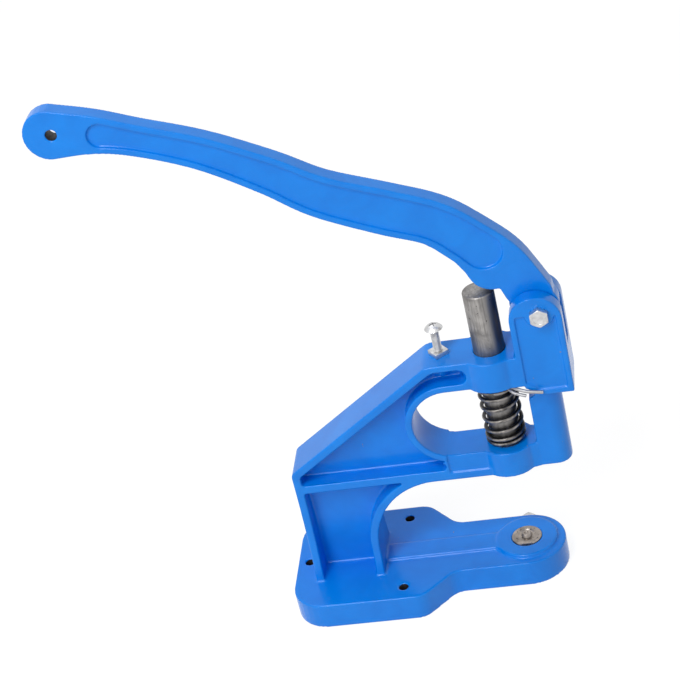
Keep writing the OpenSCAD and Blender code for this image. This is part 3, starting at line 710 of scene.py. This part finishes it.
class EYELET_OT_ram(bpy.types.Operator):
    """Model the ram, a ground bar with bevelled ends and a socket for an upper die"""

    bl_idname = "eyelet.ram"
    bl_label = "Ram"

    def execute(self, context):
        bevel = context.scene.press_sizes.ram_bevel
        piece = turned("ram_bar", [
            (RAM_RADIUS - bevel, RAM_LOW.z), (RAM_RADIUS, RAM_LOW.z + bevel),
            (RAM_RADIUS, RAM_HIGH.z - bevel), (RAM_RADIUS - bevel, RAM_HIGH.z)])
        mouth = SOCKET_RADIUS + SOCKET_CHAMFER
        combine(piece, turned("socket", [
            (mouth, RAM_LOW.z - OVER), (mouth, RAM_LOW.z), (SOCKET_RADIUS, RAM_LOW.z + SOCKET_CHAMFER),
            (SOCKET_RADIUS, RAM_LOW.z + SOCKET_DEPTH)]), "DIFFERENCE")
        round_edges(piece, SMALL_BEVEL, segments=2)
        hand_over(smooth(piece), "ram_bar", "ram", "ram_steel", finish("ground_steel"), "ram")
        return {"FINISHED"}


# Height and turn of the split pin, and the corners of its two legs in millimetres
PIN_HEIGHT = 164.15 * MM
PIN_TURN = math.radians(55)
PIN_LEGS = (((15.5, -17.4, 164.74), (22.2, -19.9, 163.34), (33.2, -19.9, 161.44)),
            ((9.0, -13.5, 163.65), (13.0, -17.4, 161.55), (21.2, -19.5, 159.75)))
# Radii of the bent wire, of the shank, and of the eye to the middle of its wire
PIN_WIRE, PIN_SHANK, PIN_EYE = 1.26 * MM, 1.75 * MM, 2.8 * MM
# The second leg's wire is a little thinner
PIN_BACK_SHARE = 0.9
# Places along the pin from the ram's axis: eye, shank's ends, and where the legs leave it
PIN_EYE_AT, PIN_SHANK_FROM, PIN_SHANK_TO, PIN_LEGS_FROM = -15.3 * MM, -12.5 * MM, 12 * MM, 10 * MM
PIN_EYE_POINTS = 32


class EYELET_OT_split_pin(bpy.types.Operator):
    """Model the split pin: an eye, a shank through the ram, and two legs bent round to the ears"""

    bl_idname = "eyelet.split_pin"
    bl_label = "Split pin"

    def execute(self, context):
        direction = Vector((math.cos(PIN_TURN), -math.sin(PIN_TURN), 0))
        centre = Vector((0, 0, PIN_HEIGHT))
        start = centre + direction * PIN_LEGS_FROM
        eye_centre = centre + direction * PIN_EYE_AT
        eye = [eye_centre + PIN_EYE * Vector((math.cos(a), math.sin(a), 0))
               for a in (FULL_TURN * k / PIN_EYE_POINTS for k in range(PIN_EYE_POINTS))]
        shank = [centre + direction * PIN_SHANK_FROM, centre + direction * PIN_SHANK_TO]
        leg_front, leg_back = (rounded_path([start] + [Vector(corner) * MM for corner in corners])
                               for corners in PIN_LEGS)
        piece = joined("split_pin_wire", [
            wire("eye", eye, PIN_WIRE, closed=True), wire("shank", shank, PIN_SHANK, sides=20),
            wire("leg_front", leg_front, PIN_WIRE),
            wire("leg_back", leg_back, PIN_BACK_SHARE * PIN_WIRE)])
        hand_over(smooth(piece, 60), "split_pin_wire", "ram", "zinc", finish("pin_steel"), "split_pin")
        return {"FINISHED"}


# The coil's turns as the frame has them: close at both ends and open between them
SPRING_TURNS = 6.75
SPRING_RADIUS = 13.0 * MM
SPRING_END_PITCH = 3.4 * MM
SPRING_POINTS_PER_TURN = 36
SPRING_SIDES = 14
# The turn after which the coil opens, and the turns over which it opens and closes again
SPRING_OPENS_AT = 1
SPRING_OPEN_TURNS = SPRING_TURNS - 1.2


def spring_height(turn, wire_radius):
    """Height of the wire's middle after that many turns."""
    rise = SPRING_TOP - SPRING_FOOT - 2 * wire_radius
    share = max(0.0, min(1.0, (turn - SPRING_OPENS_AT) / SPRING_OPEN_TURNS))
    eased = share * share * (3 - 2 * share)
    return SPRING_FOOT + wire_radius + SPRING_END_PITCH * turn + (
        rise - SPRING_END_PITCH * SPRING_TURNS) * eased


class EYELET_OT_return_spring(bpy.types.Operator):
    """Model the return spring as one round wire, coiled about the ram"""

    bl_idname = "eyelet.return_spring"
    bl_label = "Return spring"

    def execute(self, context):
        radius = context.scene.press_sizes.spring_wire / 2
        count = round(SPRING_TURNS * SPRING_POINTS_PER_TURN)
        points = []
        for i in range(count + 1):
            turn = i / SPRING_POINTS_PER_TURN
            angle = FULL_TURN * turn + math.pi / 2
            points.append((SPRING_RADIUS * math.cos(angle), SPRING_RADIUS * math.sin(angle),
                           spring_height(turn, radius)))
        piece = wire("return_spring_coil", points, radius, sides=SPRING_SIDES)
        hand_over(smooth(piece, 60), "return_spring_coil", "frame", "spring_steel",
                  finish("black_spring"), "return_spring")
        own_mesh(piece)
        return {"FINISHED"}


# --- pivot ------------------------------------------------------------------------------------


# Shallow dish in the bolt's head, as radii and heights from the head's face
HEAD_DISH = ((3.9 * MM, 0.35 * MM), (4.3 * MM, -1 * MM))
# The shank starts inside the head, and the thread starts short of the nut
SHANK_IN_HEAD, THREAD_BEFORE_NUT = 1 * MM, 3 * MM
PIVOT_THREAD_DEPTH = 0.65 * MM
# The bolt's tip: how far it is thinner than the shank, its length and its chamfer's width and height
TIP_INSET, TIP_LENGTH, TIP_TAPER, TIP_CHAMFER = 0.7 * MM, 6 * MM, 0.6 * MM, 0.6 * MM
# How much wider than the shank the nut's bore is at its mouths, and the height of their chamfer
NUT_MOUTH, NUT_CHAMFER = 0.6 * MM, 0.55 * MM


class EYELET_OT_pivot(bpy.types.Operator):
    """Model the pivot bolt with its hexagon head, the washer and the nut"""

    bl_idname = "eyelet.pivot"
    bl_label = "Pivot bolt, washer and nut"

    def execute(self, context):
        sizes = context.scene.press_sizes
        low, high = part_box("pivot_bolt")
        nut_low, nut_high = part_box("pivot_nut")
        washer_low, washer_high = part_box("pivot_washer")
        flats, shank = (nut_high.x - nut_low.x) * math.cos(math.radians(30)), PIVOT_RADIUS
        pitch, bore = sizes.pivot_pitch, shank + sizes.thread_gap
        # The head sits against the near ear as the washer does against the far one
        seat = -washer_low.y
        head = place(hexagon("head", flats, 0, seat - low.y, sizes.bolt_chamfer),
                     (PIVOT.x, seat, PIVOT.z), TO_NEAR_SIDE)
        dish = turned("dish", HEAD_DISH)
        combine(head, place(dish, (PIVOT.x, low.y, PIVOT.z), TO_FAR_SIDE), "DIFFERENCE")
        body = place(rod("shank", shank, -SHANK_IN_HEAD, nut_low.y - seat - THREAD_BEFORE_NUT),
                     (PIVOT.x, seat, PIVOT.z), TO_FAR_SIDE)
        turns = math.ceil((high.y - nut_low.y + THREAD_BEFORE_NUT) / pitch) - 1
        thread = place(threaded("thread", shank - PIVOT_THREAD_DEPTH, shank, pitch, 0, turns),
                       (PIVOT.x, high.y - (turns + 1) * pitch, PIVOT.z), TO_FAR_SIDE)
        thin = shank - TIP_INSET
        tip = place(turned("tip", [(thin, -TIP_LENGTH), (thin, -TIP_CHAMFER), (thin - TIP_TAPER, 0)]),
                    (PIVOT.x, high.y, PIVOT.z), TO_FAR_SIDE)
        bolt = joined("pivot_bolt_m8", [head, body, thread, tip])
        hand_over(smooth(bolt), "pivot_bolt_m8", "frame", "zinc", finish("bright_zinc"), "pivot_bolt")

        height, mouth = nut_high.y - nut_low.y, shank + NUT_MOUTH
        nut = hexagon("nut", flats, 0, height, sizes.bolt_chamfer, both_ends=True)
        combine(nut, turned("bore", [(mouth, -OVER), (mouth, 0), (bore, NUT_CHAMFER),
                                     (bore, height - NUT_CHAMFER), (mouth, height),
                                     (mouth, height + OVER)]), "DIFFERENCE")
        place(nut, (PIVOT.x, nut_low.y, PIVOT.z), TO_FAR_SIDE)
        hand_over(smooth(nut), "pivot_nut_m8", "frame", "zinc", finish("bright_zinc"), "pivot_nut")

        thickness = washer_high.y - washer_low.y
        washer = rod("washer", (washer_high.x - washer_low.x) / 2, 0, thickness)
        combine(washer, rod("bore", bore, -OVER, thickness + OVER), "DIFFERENCE")
        place(round_edges(washer, SMALL_BEVEL), (PIVOT.x, washer_low.y, PIVOT.z), TO_FAR_SIDE)
        hand_over(smooth(washer), "pivot_washer_m8", "frame", "zinc", finish("bright_zinc"),
                  "pivot_washer")
        return {"FINISHED"}


# --- stop screw -------------------------------------------------------------------------------


# Domed head: its height, how far its underside is drawn in and its rim lifted, and its flat top's radius
DOME_HEIGHT, DOME_INSET, DOME_RIM, DOME_TOP = 3.5 * MM, 0.4 * MM, 0.1 * MM, 0.3 * MM
DOME_STEPS = 10
# Cross slot: radii and heights of its square tool, the stretch to a bar, its depth and both its turns
SLOT_TOOL = ((0.5 * MM, 0), (0.8 * MM, 4 * MM))
SLOT_STRETCH = (6.5, 1.1, 1, 1)
SLOT_DEPTH = 1.6 * MM
SLOT_TURNS = (20, 110)
# The core fills the thread a hair below its root, and ends short of the foot and inside the head
STOP_THREAD_DEPTH, CORE_INSET, CORE_SHORT, CORE_IN_HEAD = 0.6 * MM, 0.62 * MM, 0.2 * MM, 2 * MM
# Plain neck under the head: how far it is thinner than the shank, and its length
NECK_INSET, NECK_LENGTH = 0.1 * MM, 1.4 * MM
# Square nut: its width over flats, its turn, its bevel, and the cone that turns off its lower corners
SQUARE_FLATS, SQUARE_TURN, SQUARE_BEVEL = 10.5 * MM, -8, 0.3 * MM
SQUARE_CONE = ((5.0 * MM, -0.4 * MM), (9.0 * MM, 0.9 * MM))


class EYELET_OT_stop_screw(bpy.types.Operator):
    """Model the stop screw with its domed, cross-slotted head, and its square lock nut"""

    bl_idname = "eyelet.stop_screw"
    bl_label = "Stop screw and nut"

    def execute(self, context):
        sizes = context.scene.press_sizes
        low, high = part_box("stop_screw")
        x = (low.x + high.x) / 2
        radius, shank, core_top = (high.x - low.x) / 2, STOP_RADIUS, high.z - CORE_IN_HEAD
        head_foot = high.z - DOME_HEIGHT
        ball = (radius ** 2 + DOME_HEIGHT ** 2) / (2 * DOME_HEIGHT)
        dome = [(ball * math.sin(a), high.z - ball + ball * math.cos(a))
                for a in (math.asin(radius / ball) * (1 - k / DOME_STEPS) for k in range(DOME_STEPS))]
        head = turned("head", [(radius - DOME_INSET, head_foot), (radius, dome[0][1] + DOME_RIM)]
                      + dome[1:] + [(DOME_TOP, high.z)])
        for turn in SLOT_TURNS:
            slot = turned("slot", SLOT_TOOL, sides=4)
            slot.data.transform(about_z(45))
            slot.data.transform(Matrix.Diagonal(SLOT_STRETCH))
            slot.data.transform(about_z(turn))
            combine(head, place(slot, (0, 0, high.z - SLOT_DEPTH)), "DIFFERENCE")
        turns = math.floor((head_foot - low.z) / sizes.stop_pitch)
        thread = threaded("thread", shank - STOP_THREAD_DEPTH, shank, sizes.stop_pitch, low.z, turns - 1)
        core = rod("core", shank - CORE_INSET, low.z + CORE_SHORT, core_top)
        neck = rod("neck", shank - NECK_INSET, head_foot - NECK_LENGTH, core_top)
        screw = place(joined("stop_screw_m6", [head, thread, core, neck]), (x, 0, 0))
        hand_over(smooth(screw), "stop_screw_m6", "frame", "zinc", finish("bright_zinc"), "stop_screw")

        nut_low, nut_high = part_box("stop_nut")
        height = nut_high.z - nut_low.z
        nut = rod("nut", SQUARE_FLATS / math.sqrt(2), 0, height, sides=4)
        turning = turned("turning", [*SQUARE_CONE, (SQUARE_CONE[-1][0], height)])
        combine(nut, turning, "INTERSECT")
        round_edges(nut, SQUARE_BEVEL)
        combine(nut, rod("bore", shank + sizes.thread_gap, -OVER, height + OVER), "DIFFERENCE")
        place(nut, (x, 0, nut_low.z), about_z(SQUARE_TURN))
        hand_over(smooth(nut), "stop_nut_square", "frame", "zinc", finish("bright_zinc"), "stop_nut")
        return {"FINISHED"}


# --- lower die --------------------------------------------------------------------------------


# Height of the die's face over its foot, and the chamfers at its foot and its face
DIE_FACE, DIE_FOOT_CHAMFER, DIE_FACE_CHAMFER = 13.45 * MM, 0.5 * MM, 0.4 * MM
# Profiles in millimetres, as radii and heights: the dish from the die's face, and the pip from its top
DIE_DISH = ((6.9, 0), (6.3, -0.5), (4.4, -0.55), (4.2, -1.0), (3.7, -1.0))
DIE_PIP = ((3.3, -0.6), (2.9, -0.1), (2.3, 0), (1.5, -0.1), (1.2, -0.9), (0.4, -1.1))
# Flat on the die's near side: its depth, its foot over the die's foot, its height and its tool's stretch
FLAT_DEPTH, FLAT_FOOT, FLAT_HEIGHT, FLAT_STRETCH = 1.2 * MM, 6.5 * MM, 12 * MM, 3
# Screw: its head's height and flats, its tip's chamfer, and how far the shank runs into the head
SCREW_HEAD, SCREW_FLATS, SCREW_TIP, SCREW_IN_HEAD = 4 * MM, 10 * MM, 0.8 * MM, 0.5 * MM


class EYELET_OT_lower_die(bpy.types.Operator):
    """Model the lower die with its pip and dish, and the screw that holds it"""

    bl_idname = "eyelet.lower_die"
    bl_label = "Lower die and screw"

    def execute(self, context):
        sizes = context.scene.press_sizes
        low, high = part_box("lower_die")
        radius, face = high.x, low.z + DIE_FACE
        body = [(radius - DIE_FOOT_CHAMFER, low.z), (radius, low.z + DIE_FOOT_CHAMFER),
                (radius, face - DIE_FACE_CHAMFER), (radius - DIE_FACE_CHAMFER, face)]
        dish = [(across * MM, face + up * MM) for across, up in DIE_DISH]
        pip = [(across * MM, high.z + up * MM) for across, up in DIE_PIP]
        piece = turned("die", body + dish + pip)
        flat = rod("flat", radius, 0, FLAT_HEIGHT, sides=4)
        flat.data.transform(about_z(45))
        flat.data.transform(Matrix.Diagonal((FLAT_STRETCH, 1, 1, 1)))
        half_side = radius / math.sqrt(2)
        place(flat, (0, -radius + FLAT_DEPTH - half_side, low.z + FLAT_FOOT))
        combine(piece, flat, "DIFFERENCE")
        round_edges(piece, FINE_BEVEL, segments=2, angle=50)
        hand_over(smooth(piece), "lower_die_turned", "frame", "ram_steel", finish("turned_steel"),
                  "lower_die")

        low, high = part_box("die_screw")
        centre = middle("die_screw")
        head_seat = high.y - SCREW_HEAD
        head = place(hexagon("head", SCREW_FLATS, 0, high.y - head_seat, sizes.bolt_chamfer),
                     (centre.x, head_seat, centre.z), TO_FAR_SIDE)
        shank = place(turned("shank", [(DIE_SCREW_RADIUS - SCREW_TIP, 0), (DIE_SCREW_RADIUS, SCREW_TIP),
                                       (DIE_SCREW_RADIUS, head_seat - low.y + SCREW_IN_HEAD)]),
                      (centre.x, low.y, centre.z), TO_FAR_SIDE)
        screw = joined("die_screw_m6", [head, shank])
        hand_over(smooth(screw), "die_screw_m6", "frame", "zinc", finish("bright_zinc"), "die_screw")
        return {"FINISHED"}


# --- stage ------------------------------------------------------------------------------------


# The camera's place, and its turns: about Z, down from level, and about its own line of sight
CAMERA_AT = Vector((0.156279, -1.154979, 0.947104))
CAMERA_YAW, CAMERA_PITCH, CAMERA_ROLL = (math.radians(a) for a in (-12.5359, 31.8720, -13.9448))
# Focal length and sensor width in millimetres
CAMERA_LENS, CAMERA_SENSOR = 106.764, 36
FLOOR_SIZE = 12.0
# Grey of the floor where it is seen, the grey that it bounces to the object, and the glow that whitens it
FLOOR_SHOWN, FLOOR_BOUNCE, FLOOR_GLOW = (0.22, 0.22, 0.22, 1), (0.8, 0.8, 0.8, 1), 0.86
# Light of the world on the object, and the point that the lamps face
WORLD_LIGHT = 0.4
FOCUS = (-0.06, 0, 0.2)
# Each lamp's name, place, side in metres and power in watts
LAMPS = (("key", (-0.9, -1.9, 1.5), 1.2, 24), ("edges", (-0.42, -1.06, 1.9), 0.5, 13),
         ("top", (-0.5, 0.5, 2.0), 1.2, 8))


def seen_directly(tree):
    """1 for what the camera sees, straight or through gloss and glass, and 0 for other light."""
    ray = put(tree, "ShaderNodeLightPath").outputs
    either = put(tree, "ShaderNodeMath", {0: ray["Is Camera Ray"], 1: ray["Is Glossy Ray"]},
                 operation="MAXIMUM")
    return put(tree, "ShaderNodeMath", {0: either.outputs[0], 1: ray["Is Transmission Ray"]},
               operation="MAXIMUM").outputs[0]


def white_world(world, light):
    """White where it is seen, and plain soft light on the object."""
    world.use_nodes = True
    tree = world.node_tree
    background = tree.nodes["Background"]
    background.inputs["Color"].default_value = (1, 1, 1, 1)
    strength = put(tree, "ShaderNodeMapRange", {"Value": seen_directly(tree), "To Min": light,
                                                "To Max": 1.0})
    tree.links.new(strength.outputs["Result"], background.inputs["Strength"])


def white_floor():
    """Pale floor that shows white round the object and keeps its shadow."""
    material = bpy.data.materials.new("white floor")
    material.use_nodes = True
    tree = material.node_tree
    tree.nodes.remove(tree.nodes["Principled BSDF"])
    bounce = put(tree, "ShaderNodeBsdfDiffuse", {"Color": FLOOR_BOUNCE})
    matt = put(tree, "ShaderNodeBsdfDiffuse", {"Color": FLOOR_SHOWN})
    glow = put(tree, "ShaderNodeEmission", {"Color": (1, 1, 1, 1), "Strength": FLOOR_GLOW})
    shown = put(tree, "ShaderNodeAddShader", {0: matt.outputs[0], 1: glow.outputs[0]})
    mixed = put(tree, "ShaderNodeMixShader", {0: seen_directly(tree), 1: bounce.outputs[0],
                                              2: shown.outputs[0]})
    tree.links.new(mixed.outputs[0], tree.nodes["Material Output"].inputs["Surface"])
    return material


def soft_light(name, at, towards, size, power):
    """Square soft light that faces a point."""
    lamp = bpy.data.lights.new(name, "AREA")
    lamp.shape = "SQUARE"
    lamp.size = size
    lamp.energy = power
    lamp_object = bpy.data.objects.new(name, lamp)
    lamp_object.location = at
    lamp_object.rotation_euler = (Vector(towards) - Vector(at)).to_track_quat("-Z", "Y").to_euler()
    bpy.context.scene.collection.objects.link(lamp_object)


class EYELET_OT_stage(bpy.types.Operator):
    """Set the white floor, the soft lights and the camera"""

    bl_idname = "eyelet.stage"
    bl_label = "Floor, lights and camera"

    def execute(self, context):
        deselect()
        bpy.ops.mesh.primitive_plane_add(size=FLOOR_SIZE, location=(0, 0, 0))
        floor = context.object
        floor.name = "floor"
        floor.data.materials.append(white_floor())
        scene = context.scene
        scene.world = bpy.data.worlds.new("studio")
        white_world(scene.world, WORLD_LIGHT)
        for name, at, size, power in LAMPS:
            soft_light(name, at, FOCUS, size, power)
        scene.view_settings.view_transform = "Standard"

        lens = bpy.data.cameras.new("camera")
        lens.sensor_width = CAMERA_SENSOR
        lens.lens = CAMERA_LENS
        lens.clip_start = 0.05
        ahead = Vector((math.sin(CAMERA_YAW) * math.cos(CAMERA_PITCH),
                        math.cos(CAMERA_YAW) * math.cos(CAMERA_PITCH), -math.sin(CAMERA_PITCH)))
        level = Vector((math.cos(CAMERA_YAW), -math.sin(CAMERA_YAW), 0))
        above = level.cross(ahead)
        right = math.cos(CAMERA_ROLL) * level + math.sin(CAMERA_ROLL) * above
        up = math.cos(CAMERA_ROLL) * above - math.sin(CAMERA_ROLL) * level
        turn = Matrix((right, up, -ahead)).transposed().to_4x4()
        camera = bpy.data.objects.new("camera", lens)
        camera.matrix_world = Matrix.Translation(CAMERA_AT) @ turn
        scene.collection.objects.link(camera)
        scene.camera = camera
        return {"FINISHED"}


# --- panel and registration -------------------------------------------------------------------

OPERATORS = (EYELET_OT_castings, EYELET_OT_ram, EYELET_OT_split_pin, EYELET_OT_return_spring,
             EYELET_OT_pivot, EYELET_OT_stop_screw, EYELET_OT_lower_die, EYELET_OT_stage)


class EYELET_PT_press(bpy.types.Panel):
    """Sizes, colours and pieces of the press"""

    bl_label = "Eyelet press"
    bl_idname = "EYELET_PT_press"
    bl_space_type = "VIEW_3D"
    bl_region_type = "UI"
    bl_category = "Press"

    def draw(self, context):
        for settings in (context.scene.press_sizes, context.scene.press_colours):
            column = self.layout.column(align=True)
            for name in settings.bl_rna.properties.keys():
                if name not in ("rna_type", "name"):
                    column.prop(settings, name)
        column = self.layout.column()
        for operator in OPERATORS:
            column.operator(operator.bl_idname)


CLASSES = (PressSizes, PressColours, *OPERATORS, EYELET_PT_press)


def register():
    """Makes the classes and the scene's settings known to Blender."""
    for cls in CLASSES:
        bpy.utils.register_class(cls)
    bpy.types.Scene.press_sizes = PointerProperty(type=PressSizes)
    bpy.types.Scene.press_colours = PointerProperty(type=PressColours)


def unregister():
    """Takes them away again."""
    del bpy.types.Scene.press_colours
    del bpy.types.Scene.press_sizes
    for cls in reversed(CLASSES):
        bpy.utils.unregister_class(cls)


def main():
    """Models every piece."""
    register()
    for operator in OPERATORS:
        group, name = operator.bl_idname.split(".")
        getattr(getattr(bpy.ops, group), name)()
    bpy.context.view_layer.update()


if __name__ == "__main__":
    main()
